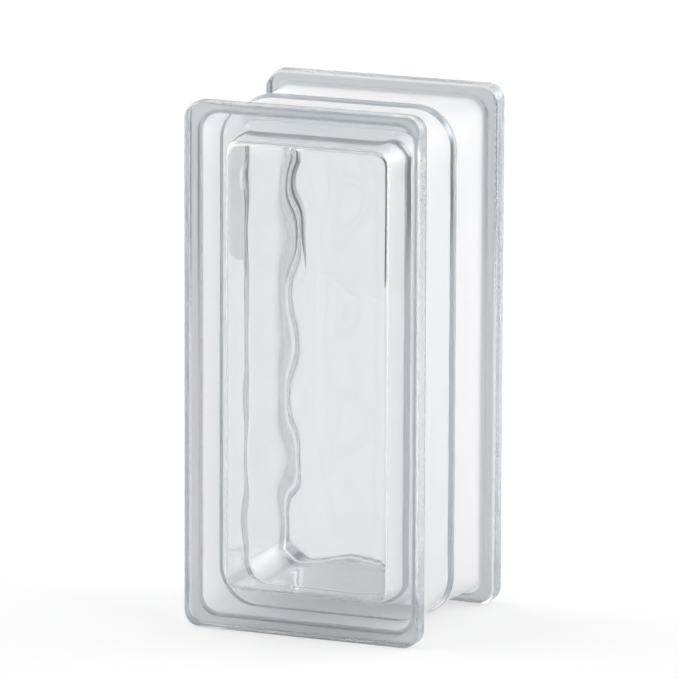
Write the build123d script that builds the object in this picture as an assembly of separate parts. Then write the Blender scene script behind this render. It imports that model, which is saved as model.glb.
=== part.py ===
from build123d import *
import os
from math import atan2, degrees, pi, sin

# Hollow glass block of half width, standing upright.
# It was pressed as two like half shells, which were then fused face to face
# into one sealed piece of glass, so it is a single solid round a closed hollow.
# X runs across the block, Y through it from front to back, Z up.
# The origin is the middle of the base, on the surface it stands on.

# Overall size over the two rims
width = 90.0
depth = 80.0
height = 190.0

# Rim of each half shell, the plate that stands out past the side walls
rim_thickness = 8.0
rim_corner_radius = 6.0
rim_face_edge_radius = 1.2
rim_back_edge_radius = 1.6

# Side walls, which lean outwards from the rim to the seam at mid depth,
# while the rounding of their corners grows
wall_inset_at_rim = 5.0
wall_inset_at_seam = 3.8
wall_corner_at_rim = 5.5
wall_corner_at_seam = 14.0
wall_root_radius = 2.6

# Rounded bead of glass squeezed out along the seam
bead_width = 4.4
bead_height = 1.3

# Hollow, left by the plunger of the press in each half shell
face_thickness = 8.0
wall_thickness_at_face = 9.0
wall_thickness_at_seam = 5.7
hollow_corner_at_seam = 9.5
hollow_edge_radius = 2.2

# Waves on the inner side of each face: upright flutes that wander from side to side
# on their way up, and fade into a flat border before the rounded edge of the hollow
wave_border = 2.5
wave_fade = 10.0
wave_foot = 0.1
wave_rise = 0.22
wave_pitch = 29.0
wave_start = 16.6
wander_reach = 4.2
wander_pitch = 43.3
wander_start = 27.9
sway_reach = 2.6
sway_pitch = 60.0
sway_start = 26.2
wave_grid_step = 5.0

# Two edges nearer than this are the same edge
same_place = 0.01


def outline(inset, corner_radius, y):
    """Rounded rectangle parallel to the faces, set in from the rim's edge all round."""
    sheet = RectangleRounded(width - 2 * inset, height - 2 * inset, corner_radius)
    return Pos(0, y, height / 2) * Rot(90, 0, 0) * sheet


def edges_along(body, loop):
    """Edges of a body that run along the border of an outline."""
    border = loop.wires()[0]
    return [edge for edge in body.edges() if border.distance_to(edge @ 0.5) < same_place]


def walls_between(first, last):
    """Solid between two outlines, with plane sides and smoothly changing corners."""
    first_end, last_end = first.faces()[0], last.faces()[0]
    sides = []
    for near, far in zip(first_end.outer_wire().edges(), last_end.outer_wire().edges()):
        if near.geom_type == GeomType.LINE:
            sides.append(Face(Wire.make_polygon([near @ 0, near @ 1, far @ 1, far @ 0])))
        else:
            sides.append(Face.make_surface_from_curves(near, far))
    return Solid(Shell([first_end, last_end, *sides]))


def turned_round(half):
    """The back half shell's copy of a front form, from the same mould."""
    return Rot(0, 0, 180) * half


def front_shell():
    """Outer form of the front half shell, filled, from its face to the bead."""
    face_y = -depth / 2
    rim_back_y = face_y + rim_thickness
    front = outline(0, rim_corner_radius, face_y)
    back = outline(0, rim_corner_radius, rim_back_y)
    rim = extrude(front, rim_thickness, dir=(0, 1, 0))
    rim = fillet(edges_along(rim, front), rim_face_edge_radius)
    rim = fillet(edges_along(rim, back), rim_back_edge_radius)
    foot = outline(wall_inset_at_rim, wall_corner_at_rim, rim_back_y)
    seam = outline(wall_inset_at_seam, wall_corner_at_seam, -bead_width / 2)
    shell = rim + walls_between(foot, seam)
    return fillet(edges_along(shell, foot), wall_root_radius)


def seam_bead():
    """Band of glass at mid depth, rounded outwards all round between its two sides."""
    core = outline(wall_inset_at_seam, wall_corner_at_seam, -bead_width / 2)
    path = outline(wall_inset_at_seam, wall_corner_at_seam, 0).wires()[0]
    start = path @ 0
    outwards = Vector(start.X, 0, start.Z - height / 2)
    aside = Vector(0, bead_width / 2, 0)
    outwards -= outwards.dot(path % 0) * (path % 0)
    round_side = ThreePointArc(start - aside, start + outwards.normalized() * bead_height, start + aside)
    section = Face(Wire([round_side, Line(start + aside, start - aside)]))
    return extrude(core, bead_width, dir=(0, 1, 0)) + sweep(section, path=path)


def wander(z):
    """Sideways place of a flute at height z above the base."""
    quick = wander_reach * sin(2 * pi * (z - wander_start) / wander_pitch)
    slow = sway_reach * sin(2 * pi * (z - sway_start) / sway_pitch)
    return quick + slow


def wave(x, z):
    """Height of the waves above the flat inner side of the face, before they fade."""
    return wave_foot + wave_rise * (1 + sin(2 * pi * (x - wave_start - wander(z)) / wave_pitch))


def fade(place, reach):
    """Share of the waves left at a place whose distance from the middle can grow to reach."""
    share = min((reach - abs(place)) / wave_fade, 1)
    return share * (2 - share)


def grid_line(reach):
    """Evenly spaced places from -reach to reach, about one grid step apart."""
    count = round(2 * reach / wave_grid_step)
    return [reach * (2 * i / count - 1) for i in range(count + 1)]


def wavy_layer(y):
    """Glass between the flat inner side of the front face, at y, and the waves on it."""
    inset = wall_inset_at_rim + wall_thickness_at_face + hollow_edge_radius + wave_border
    reach_x, reach_z = width / 2 - inset, height / 2 - inset
    grid = []
    for x in grid_line(reach_x):
        share = fade(x, reach_x)
        rises = [(z, wave(x, height / 2 + z) * share * fade(z, reach_z)) for z in grid_line(reach_z)]
        grid.append([(x, y + rise, height / 2 + z) for z, rise in rises])
    waves = Face.make_surface_from_array_of_points(grid)
    flat = Face(Wire.make_polygon([grid[0][0], grid[-1][0], grid[-1][-1], grid[0][-1]]))
    return Solid(Shell([waves, flat]))


def front_hollow():
    """Room that the plunger left in the front half shell, with the waves on its end."""
    inset_at_face = wall_inset_at_rim + wall_thickness_at_face
    inset_at_seam = wall_inset_at_seam + wall_thickness_at_seam
    plunger_length = depth / 2 - face_thickness
    draft = degrees(atan2(inset_at_face - inset_at_seam, plunger_length))
    hollow = extrude(outline(inset_at_seam, hollow_corner_at_seam, 0), plunger_length, taper=draft)
    end = hollow.faces().sort_by(Axis.Y)[0]
    hollow = fillet(end.edges(), hollow_edge_radius)
    return hollow - wavy_layer(-plunger_length)


def glass_block():
    """The fused block: both shells and the bead, less the hollow between them."""
    shell = front_shell()
    outside = shell + seam_bead() + turned_round(shell)
    hollow = front_hollow()
    return outside - (hollow + turned_round(hollow))


block = glass_block()
os.makedirs("parts", exist_ok=True)
export_step(block, "parts/glass_block.step")
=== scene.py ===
from math import cos, pi, radians, sin

import bmesh
import bpy
from mathutils import Matrix, Vector, noise


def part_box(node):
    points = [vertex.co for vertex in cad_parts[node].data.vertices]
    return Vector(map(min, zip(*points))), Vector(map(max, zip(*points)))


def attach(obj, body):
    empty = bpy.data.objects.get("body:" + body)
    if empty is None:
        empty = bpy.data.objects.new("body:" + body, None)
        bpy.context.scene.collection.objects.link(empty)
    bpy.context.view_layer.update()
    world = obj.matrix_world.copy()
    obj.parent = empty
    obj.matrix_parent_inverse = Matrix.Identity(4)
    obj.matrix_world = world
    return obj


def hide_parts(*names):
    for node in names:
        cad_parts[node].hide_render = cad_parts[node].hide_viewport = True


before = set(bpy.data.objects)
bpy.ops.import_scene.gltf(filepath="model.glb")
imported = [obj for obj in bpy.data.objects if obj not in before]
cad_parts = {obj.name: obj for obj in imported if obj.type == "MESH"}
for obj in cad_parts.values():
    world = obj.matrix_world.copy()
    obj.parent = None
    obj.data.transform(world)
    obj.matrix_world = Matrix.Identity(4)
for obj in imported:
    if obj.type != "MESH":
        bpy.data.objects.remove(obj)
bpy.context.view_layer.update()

low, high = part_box("glass_block")

# Sizes of the block, in metres
mm = 0.001
width = high.x - low.x
depth = high.y - low.y
height = high.z - low.z
rim_thickness = 8.0 * mm
rim_corner = 6.0 * mm
rim_face_edge = 1.2 * mm
rim_back_edge = 1.6 * mm
wall_inset_at_rim = 5.0 * mm
wall_inset_at_seam = 3.8 * mm
wall_corner_at_rim = 5.5 * mm
wall_corner_at_seam = 14.0 * mm
wall_root = 2.6 * mm
bead_width = 4.4 * mm
bead_height = 1.3 * mm
face_thickness = 8.0 * mm
wall_thickness_at_face = 9.0 * mm
wall_thickness_at_seam = 5.7 * mm
hollow_corner_at_seam = 9.5 * mm
hollow_edge = 2.2 * mm
hollow_seam_bend = 0.8 * mm

# How far the bead strays from mid depth and over what length, as the shells were pressed
# together, with a smaller tremble on top: its share, and how often it fits into that length
bead_stray = 0.35 * mm
bead_stray_length = 22.0 * mm
bead_tremble = 0.5
bead_trembles = 3

# Waves on the inner side of each face, which fade into a flat border
wave_border = 2.5 * mm
wave_fade = 10.0 * mm
wave_foot = 0.1 * mm
wave_rise = 0.22 * mm
wave_pitch = 29.0 * mm
wave_start = 16.6 * mm
wander_reach = 4.2 * mm
wander_pitch = 43.3 * mm
wander_start = 27.9 * mm
sway_reach = 2.6 * mm
sway_pitch = 60.0 * mm
sway_start = 26.2 * mm

# Finish that the mould left on the glass: roughness, and share that is white and not clear.
# The faces are fire-polished, and so is the hollow, whose skin is given no finish. The ring
# is the side of a rim towards the seam, and its root curves on to the side wall.
# The white shares also pick the tint below, as painted shade: grey on the rims, darker on the
# ring, the root and the bead.
face_finish = (0.0, 0.0)
rim_finish = (0.13, 0.25)
ring_finish = (0.13, 0.38)
wall_finish = (0.9, 0.62)
bead_finish = (0.06, 0.42)

# Share of the light that the white lets through, and tints from clear glass to matt walls. The
# grey of the rims, and the darker grey of the ring, the root's curve and the bead, are painted
# shade.
shine_through = 0.33
clear_tint = (0.886, 0.897, 0.908, 1)
# Painted shade: grey on the rims
rim_painted_shade = (0.73, 0.765, 0.785, 1)
# Painted shade: darker grey on the ring, in the crease of the root's curve and on the bead
root_and_bead_painted_shade = (0.48, 0.52, 0.545, 1)
wall_tint = (0.97, 0.973, 0.975, 1)

# Tint that grows with the depth of glass that light passes, and how strongly glass bends it
depth_tint = (0.869, 0.88, 0.888, 1)
depth_tint_density = 40.0
glass_refraction = 1.52

# Fine unevenness of the rims and the bead
grain_size = 1.4 * mm
grain_detail = 5.0
grain_height = 0.18 * mm

# Round white floor, like a table top, whose edge lies a little way behind the block
floor_radius = 1.6
floor_behind = 0.6
floor_steps = 128
floor_white = 0.4
floor_glow = 0.55

# Plain colours
black = (0, 0, 0, 1)
white = (1, 1, 1, 1)

# Soft lights far round the block: degrees to the right of where the camera looks,
# degrees up, degrees from the middle to where each begins and ends to fade, and strength
room_tone = 0.1
soft_lights = [
    (0, -12, 8, 15, 0.95),
    (-20, 5, 6, 20, 1.6),
    (0, 30, 8, 28, 1.2),
    (-45, 25, 8, 30, 2.6),
    (-88, 12, 22, 50, 3.0),
    (50, 25, 8, 25, 2.4),
    (95, 12, 28, 52, 3.2),
    (0, 85, 15, 40, 0.5),
]

# How many times light may bounce in the glass before it is given up
light_bounces = 40

# How finely the glass is divided
corner_steps = 12
bend_steps = 8
short_steps = 24
long_steps = 64
wave_short_steps = 56
wave_long_steps = 156
bend_border = 0.25 * mm

# Camera of the photograph
camera_place = Vector((1.0861, -2.5638, 0.6736))
camera_yaw = radians(23.0)
camera_pitch = radians(11.629)
camera_roll = radians(0.209)
focal_pixels = 7981.9
picture_pixels = 678
sensor = 36.0
camera_reach = 100.0


def outline(y, inset, corner):
    """Spots round a rounded rectangle at a depth, set in from the rim's edge."""
    middle_x = width / 2 - inset - corner
    middle_z = height / 2 - inset - corner
    quarters = [(1, 1), (-1, 1), (-1, -1), (1, -1)]
    spots = []
    for quarter, (side_x, side_z) in enumerate(quarters):
        for turn in turns(corner_steps):
            angle = turn + quarter * pi / 2
            x = side_x * middle_x + corner * cos(angle)
            spots.append(Vector((x, y, height / 2 + side_z * middle_z + corner * sin(angle))))
        steps = short_steps if quarter in (0, 2) else long_steps
        next_x, next_z = quarters[(quarter + 1) % 4]
        angle = (quarter + 1) * pi / 2
        x = next_x * middle_x + corner * cos(angle)
        last = Vector((x, y, height / 2 + next_z * middle_z + corner * sin(angle)))
        first = spots[-1]
        spots += [first.lerp(last, i / steps) for i in range(1, steps)]
    return spots


def turns(steps):
    """Angles of a quarter turn, in equal steps."""
    return [pi / 2 * i / steps for i in range(steps + 1)]


def mirrored(half):
    """Outlines of the front half, followed by the back half's."""
    return half + [(-y, inset, corner) for y, inset, corner in reversed(half) if y]


def outer_section():
    """Depth, inset and corner radius of the outer skin's outlines, from face to face."""
    face_y = -depth / 2
    rim_y = face_y + rim_thickness
    root_y = rim_y + wall_root
    bead_y = -bead_width / 2

    def wall(y):
        share = (bead_y - y) / (bead_y - rim_y)
        inset = wall_inset_at_seam + share * (wall_inset_at_rim - wall_inset_at_seam)
        return y, inset, wall_corner_at_seam + share * (wall_corner_at_rim - wall_corner_at_seam)

    half = [(face_y, rim_face_edge + bend_border, rim_corner - rim_face_edge - bend_border)]
    for turn in turns(bend_steps):
        inset = rim_face_edge * (1 - sin(turn))
        half.append((face_y + rim_face_edge * (1 - cos(turn)), inset, rim_corner - inset))
    half.append((face_y + rim_face_edge + bend_border, 0, rim_corner))
    half.append((rim_y - rim_back_edge - bend_border, 0, rim_corner))
    for turn in turns(bend_steps):
        inset = rim_back_edge * (1 - cos(turn))
        half.append((rim_y - rim_back_edge * (1 - sin(turn)), inset, rim_corner - inset))
    root_inset, root_corner = wall(root_y)[1:]
    for turn in turns(bend_steps):
        outwards = wall_root * (1 - sin(turn))
        y = rim_y + wall_root * (1 - cos(turn))
        half.append((y, root_inset - outwards, root_corner + outwards))
    half.append(wall(root_y + bend_border))
    half.append(wall(bead_y - bend_border))
    bead_round = (bead_width ** 2 / 4 + bead_height ** 2) / (2 * bead_height)
    for i in range(bend_steps + 1):
        y = bead_y * (1 - i / bend_steps)
        rise = (bead_round ** 2 - y ** 2) ** 0.5 - bead_round + bead_height
        half.append((y, wall_inset_at_seam - rise, wall_corner_at_seam + rise))
    return mirrored(half)


def hollow_section():
    """Depth, inset and corner radius of the hollow's outlines, from end to end."""
    end_y = -(depth / 2 - face_thickness)
    inset_at_face = wall_inset_at_rim + wall_thickness_at_face
    inset_at_seam = wall_inset_at_seam + wall_thickness_at_seam

    def wall(y):
        inwards = (inset_at_face - inset_at_seam) * y / end_y
        return y, inset_at_seam + inwards, hollow_corner_at_seam - inwards

    bend_y = end_y + hollow_edge
    bend_inset, bend_corner = wall(bend_y)[1:]
    rounding = hollow_edge + bend_border
    half = [(end_y, bend_inset + rounding, bend_corner - rounding)]
    for turn in turns(2 * bend_steps):
        inwards = hollow_edge * (1 - sin(turn))
        y = end_y + hollow_edge * (1 - cos(turn))
        half.append((y, bend_inset + inwards, bend_corner - inwards))
    half.append(wall(bend_y + bend_border))
    half.append(wall(-hollow_seam_bend - bend_border))
    half.append(wall(-hollow_seam_bend))
    half.append((0, *wall(-hollow_seam_bend / 2)[1:]))
    return mirrored(half)


def wander(z):
    """Sideways place of a flute at height z above the base."""
    quick = wander_reach * sin(2 * pi * (z - wander_start) / wander_pitch)
    slow = sway_reach * sin(2 * pi * (z - sway_start) / sway_pitch)
    return quick + slow


def wave(x, z):
    """Height of the waves above the flat inner side of the front face, before they fade."""
    return wave_foot + wave_rise * (1 + sin(2 * pi * (x - wave_start - wander(z)) / wave_pitch))


def fade(place, reach):
    """Share of the waves left at a place whose distance from the middle can grow to reach."""
    share = min(max((reach - abs(place)) / wave_fade, 0), 1)
    return share * (2 - share)


def wavy_sheet(bm, side, ring):
    """Wavy inner side of a face, joined to the flat ring round it."""
    inset = wall_inset_at_rim + wall_thickness_at_face + hollow_edge + wave_border
    reach_x = width / 2 - inset
    reach_z = height / 2 - inset
    lay_upright = Matrix.Translation((0, side * (depth / 2 - face_thickness), height / 2))
    lay_upright @= Matrix.Rotation(pi / 2, 4, "X") @ Matrix.Diagonal((reach_x, reach_z, 1, 1))
    sheet = bmesh.ops.create_grid(
        bm, x_segments=wave_short_steps, y_segments=wave_long_steps, size=1, matrix=lay_upright,
    )
    edges = [edge for vert in sheet["verts"] for edge in vert.link_edges if edge.is_boundary]
    border = list(dict.fromkeys(edges))
    bmesh.ops.triangle_fill(bm, use_beauty=True, edges=border + ring, normal=(0, side, 0))
    for vert in sheet["verts"]:
        x, y, z = vert.co
        share = fade(x, reach_x) * fade(z - height / 2, reach_z)
        vert.co.y -= side * share * wave(-side * x, z)


def skin_through(bm, section):
    """Skin drawn from outline to outline, open at both ends, and its two end loops."""
    verts = [bm.verts.new(spot) for spot in outline(*section[0])]
    first = [bm.edges.new(pair) for pair in zip(verts, verts[1:] + verts[:1])]
    last = first
    number = {vert: i for i, vert in enumerate(verts)}
    for place in section[1:]:
        made = bmesh.ops.extrude_edge_only(bm, edges=last)["geom"]
        fresh = {item for item in made if isinstance(item, bmesh.types.BMVert)}
        spots = outline(*place)
        followed = {}
        for vert in fresh:
            origins = [edge.other_vert(vert) for edge in vert.link_edges]
            followed[vert] = next(number[origin] for origin in origins if origin in number)
            vert.co = spots[followed[vert]]
        number = followed
        edges = [item for item in made if isinstance(item, bmesh.types.BMEdge)]
        last = [edge for edge in edges if fresh.issuperset(edge.verts)]
    return first, last


def outer_skin(bm):
    """Outer skin of both shells: faces, rims, side walls and the bead along the seam."""
    for ring in skin_through(bm, outer_section()):
        bmesh.ops.edgeloop_fill(bm, edges=ring)


def inner_skin(bm):
    """Skin of the sealed hollow, with the waves on the inner side of both faces."""
    front, back = skin_through(bm, hollow_section())
    wavy_sheet(bm, -1, front)
    wavy_sheet(bm, 1, back)


def skin(make, hollow=False):
    """One closed skin of the glass, its faces pointing out of the glass."""
    bm = bmesh.new()
    make(bm)
    bmesh.ops.recalc_face_normals(bm, faces=bm.faces)
    if hollow:
        bmesh.ops.reverse_faces(bm, faces=bm.faces)
    for face in bm.faces:
        face.smooth = True
    mesh = bpy.data.meshes.new("skin")
    bm.to_mesh(mesh)
    bm.free()
    return mesh


def finish(y):
    """Roughness and white share of the outer skin at a depth."""
    reach = abs(y)
    if reach > depth / 2 - rim_face_edge / 2:
        return face_finish
    past_rim = depth / 2 - rim_thickness - reach
    # The white shares given here also pick the tint: painted shade grey on the rims, darker on the
    # ring, in the crease of the root and on the bead.
    if past_rim < -bend_border / 2:
        return rim_finish
    if past_rim < wall_root:
        share = max(past_rim / wall_root, 0)
        return [ring + share * (wall - ring) for ring, wall in zip(ring_finish, wall_finish)]
    return wall_finish if reach > bead_width / 2 else bead_finish


def bead_drift(place):
    """How far the bead strays from mid depth at a place."""
    slow = noise.noise(place / bead_stray_length)
    quick = noise.noise(place / bead_stray_length * bead_trembles)
    return bead_stray * (slow + quick * bead_tremble)


def glass_body():
    """The glass of the block, one mesh of its outer skin and the skin of its hollow."""
    bm = bmesh.new()
    bm.from_mesh(skin(outer_skin))
    outer_count = len(bm.verts)
    bm.from_mesh(skin(inner_skin, hollow=True))
    mesh = bpy.data.meshes.new("glass_body")
    bm.to_mesh(mesh)
    bm.free()
    bead_reach = bead_width / 2 + 2 * bend_border
    roughness = mesh.attributes.new("roughness", "FLOAT", "POINT")
    whiteness = mesh.attributes.new("whiteness", "FLOAT", "POINT")
    for i in range(outer_count):
        place = mesh.vertices[i].co
        roughness.data[i].value, whiteness.data[i].value = finish(place.y)
        if abs(place.y) < bead_reach:
            place.y += bead_drift(Vector((place.x, 0, place.z)))
    body = bpy.data.objects.new("glass_body", mesh)
    bpy.context.collection.objects.link(body)
    return body


def clear_glass():
    """Pressed glass, clear where it was fire-polished and whitish where the mould roughened it,
    with painted shade greying the rims, the ring, the root's curve and the bead.
    """
    material = bpy.data.materials.new("clear_glass")
    material.use_nodes = True
    tree = material.node_tree
    output = tree.nodes["Material Output"]
    clear = tree.nodes["Principled BSDF"]
    clear.inputs["IOR"].default_value = glass_refraction
    clear.inputs["Transmission Weight"].default_value = 1.0
    roughness = attribute(tree, "roughness")
    whiteness = attribute(tree, "whiteness")
    tree.links.new(roughness, clear.inputs["Roughness"])
    frost_front = tree.nodes.new("ShaderNodeBsdfDiffuse")
    frost_back = tree.nodes.new("ShaderNodeBsdfTranslucent")
    grainy = grain(tree, roughness)
    tree.links.new(grainy, clear.inputs["Normal"])
    tree.links.new(grainy, frost_front.inputs["Normal"])
    # The tint holds painted shade: grey on the rims, darker on the ring, the root's curve and the
    # bead
    tint = tint_with_painted_shade(tree, whiteness)
    tree.links.new(tint, clear.inputs["Base Color"])
    tree.links.new(tint, frost_front.inputs["Color"])
    tree.links.new(tint, frost_back.inputs["Color"])
    frost = mixed(tree, frost_front, frost_back, shine_through)
    surface = mixed(tree, clear, frost, whiteness)
    tree.links.new(surface.outputs[0], output.inputs["Surface"])
    inside = tree.nodes.new("ShaderNodeVolumeAbsorption")
    inside.inputs["Color"].default_value = depth_tint
    inside.inputs["Density"].default_value = depth_tint_density
    tree.links.new(inside.outputs[0], output.inputs["Volume"])
    return material


def attribute(tree, name):
    """Value of the skin's attribute of that name."""
    node = tree.nodes.new("ShaderNodeAttribute")
    node.attribute_name = name
    return node.outputs["Fac"]


def tint_with_painted_shade(tree, whiteness):
    """Colour of the glass by the white share of its finish, with painted shade greying the rims,
    and darker the ring, the root's curve and the bead.
    """
    tint = tree.nodes.new("ShaderNodeValToRGB")
    ramp = tint.color_ramp
    ramp.elements[0].color = clear_tint
    ramp.elements[1].color = wall_tint
    ramp.elements[1].position = wall_finish[1]
    # Painted shade: grey for the rims, darker grey for the ring, the root's curve and the bead
    ramp.elements.new(rim_finish[1]).color = rim_painted_shade
    ramp.elements.new(bead_finish[1]).color = root_and_bead_painted_shade
    tree.links.new(whiteness, tint.inputs["Fac"])
    return tint.outputs["Color"]


def mixed(tree, first, second, share):
    """Mix of two shaders by the share of the second, one number or a linked one."""
    mix = tree.nodes.new("ShaderNodeMixShader")
    if isinstance(share, float):
        mix.inputs["Fac"].default_value = share
    else:
        tree.links.new(share, mix.inputs["Fac"])
    tree.links.new(first.outputs[0], mix.inputs[1])
    tree.links.new(second.outputs[0], mix.inputs[2])
    return mix


def grain(tree, roughness):
    """Fine unevenness, strongest on the rims, less on the bead and none on faces and walls."""
    place = tree.nodes.new("ShaderNodeTexCoord")
    speckle = tree.nodes.new("ShaderNodeTexNoise")
    speckle.inputs["Scale"].default_value = 1 / grain_size
    speckle.inputs["Detail"].default_value = grain_detail
    strength = tree.nodes.new("ShaderNodeValToRGB")
    strength.color_ramp.elements[0].color = black
    strength.color_ramp.elements[1].color = black
    strength.color_ramp.elements[1].position = wall_finish[0]
    strength.color_ramp.elements.new(rim_finish[0]).color = white
    relief = tree.nodes.new("ShaderNodeMath")
    relief.operation = "MULTIPLY"
    bump = tree.nodes.new("ShaderNodeBump")
    bump.inputs["Distance"].default_value = grain_height
    tree.links.new(place.outputs["Object"], speckle.inputs["Vector"])
    tree.links.new(roughness, strength.inputs["Fac"])
    tree.links.new(speckle.outputs["Fac"], relief.inputs[0])
    tree.links.new(strength.outputs["Color"], relief.inputs[1])
    tree.links.new(relief.outputs[0], bump.inputs["Height"])
    return bump.outputs["Normal"]


def white_floor():
    """Plain white floor, which shows as white to the eye, in reflections and through glass."""
    bm = bmesh.new()
    towards = (floor_radius - floor_behind) * Vector((sin(camera_yaw), -cos(camera_yaw), 0))
    middle = Matrix.Translation(towards)
    bmesh.ops.create_circle(
        bm, cap_ends=True, segments=floor_steps, radius=floor_radius, matrix=middle,
    )
    mesh = bpy.data.meshes.new("floor")
    bm.to_mesh(mesh)
    bm.free()
    material = bpy.data.materials.new("white_floor")
    material.use_nodes = True
    tree = material.node_tree
    tree.nodes.remove(tree.nodes["Principled BSDF"])
    paint = tree.nodes.new("ShaderNodeBsdfDiffuse")
    paint.inputs["Color"].default_value = (floor_white, floor_white, floor_white, 1)
    glow = tree.nodes.new("ShaderNodeEmission")
    both = tree.nodes.new("ShaderNodeAddShader")
    kind = tree.nodes.new("ShaderNodeLightPath")
    tree.links.new(paint.outputs[0], both.inputs[0])
    tree.links.new(glow.outputs[0], both.inputs[1])
    tree.links.new(both.outputs[0], tree.nodes["Material Output"].inputs["Surface"])
    seen = kind.outputs["Is Camera Ray"]
    for name in ("Is Glossy Ray", "Is Transmission Ray"):
        either = tree.nodes.new("ShaderNodeMath")
        either.operation = "MAXIMUM"
        tree.links.new(seen, either.inputs[0])
        tree.links.new(kind.outputs[name], either.inputs[1])
        seen = either.outputs[0]
    strength = tree.nodes.new("ShaderNodeMath")
    strength.operation = "MULTIPLY"
    strength.inputs[1].default_value = floor_glow
    tree.links.new(seen, strength.inputs[0])
    tree.links.new(strength.outputs[0], glow.inputs["Strength"])
    mesh.materials.append(material)
    floor = bpy.data.objects.new("floor", mesh)
    bpy.context.collection.objects.link(floor)


def soft_light(tree, where, place, strength, total):
    """Adds a round light, far away and soft at its edge, to the world's brightness."""
    turn, rise, begin, end = (radians(angle) for angle in place)
    heading = camera_yaw - turn
    centre = (-sin(heading) * cos(rise), cos(heading) * cos(rise), sin(rise))
    along = tree.nodes.new("ShaderNodeVectorMath")
    along.operation = "DOT_PRODUCT"
    along.inputs[1].default_value = centre
    tree.links.new(where.outputs["Generated"], along.inputs[0])
    glow = tree.nodes.new("ShaderNodeMapRange")
    glow.interpolation_type = "SMOOTHSTEP"
    glow.inputs["From Min"].default_value = cos(end)
    glow.inputs["From Max"].default_value = cos(begin)
    glow.inputs["To Max"].default_value = strength
    tree.links.new(along.outputs["Value"], glow.inputs["Value"])
    added = tree.nodes.new("ShaderNodeMath")
    added.inputs[1].default_value = room_tone
    tree.links.new(glow.outputs["Result"], added.inputs[0])
    if total:
        tree.links.new(total, added.inputs[1])
    return added.outputs[0]


def studio():
    """Soft lights round the block in a dim room; those behind it are its white backdrop too."""
    scene = bpy.context.scene
    world = bpy.data.worlds.new("studio")
    scene.world = world
    world.use_nodes = True
    tree = world.node_tree
    where = tree.nodes.new("ShaderNodeTexCoord")
    total = None
    for *place, strength in soft_lights:
        total = soft_light(tree, where, place, strength, total)
    tree.links.new(total, tree.nodes["Background"].inputs["Strength"])
    tree.nodes["Background"].inputs["Color"].default_value = white
    scene.view_settings.view_transform = "Standard"
    scene.cycles.max_bounces = light_bounces
    scene.cycles.glossy_bounces = light_bounces
    scene.cycles.transmission_bounces = light_bounces


def look_ahead():
    """Direction in which the camera looks."""
    return Vector((
        -sin(camera_yaw) * cos(camera_pitch),
        cos(camera_yaw) * cos(camera_pitch),
        -sin(camera_pitch),
    ))


def photo_camera():
    """Camera of the photograph, a long lens from the right and a little above."""
    ahead = look_ahead()
    level = Vector((cos(camera_yaw), sin(camera_yaw), 0))
    above = level.cross(ahead)
    right = level * cos(camera_roll) + above * sin(camera_roll)
    up = above * cos(camera_roll) - level * sin(camera_roll)
    data = bpy.data.cameras.new("camera")
    data.sensor_width = sensor
    data.lens = focal_pixels / picture_pixels * sensor
    data.clip_end = camera_reach
    camera = bpy.data.objects.new("camera", data)
    turn = Matrix((right, up, -ahead)).transposed().to_4x4()
    camera.matrix_world = Matrix.Translation(camera_place) @ turn
    bpy.context.collection.objects.link(camera)
    bpy.context.scene.camera = camera


photo_camera()
studio()
white_floor()
block = glass_body()
block.data.materials.append(clear_glass())
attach(block, "root")
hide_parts("glass_block")
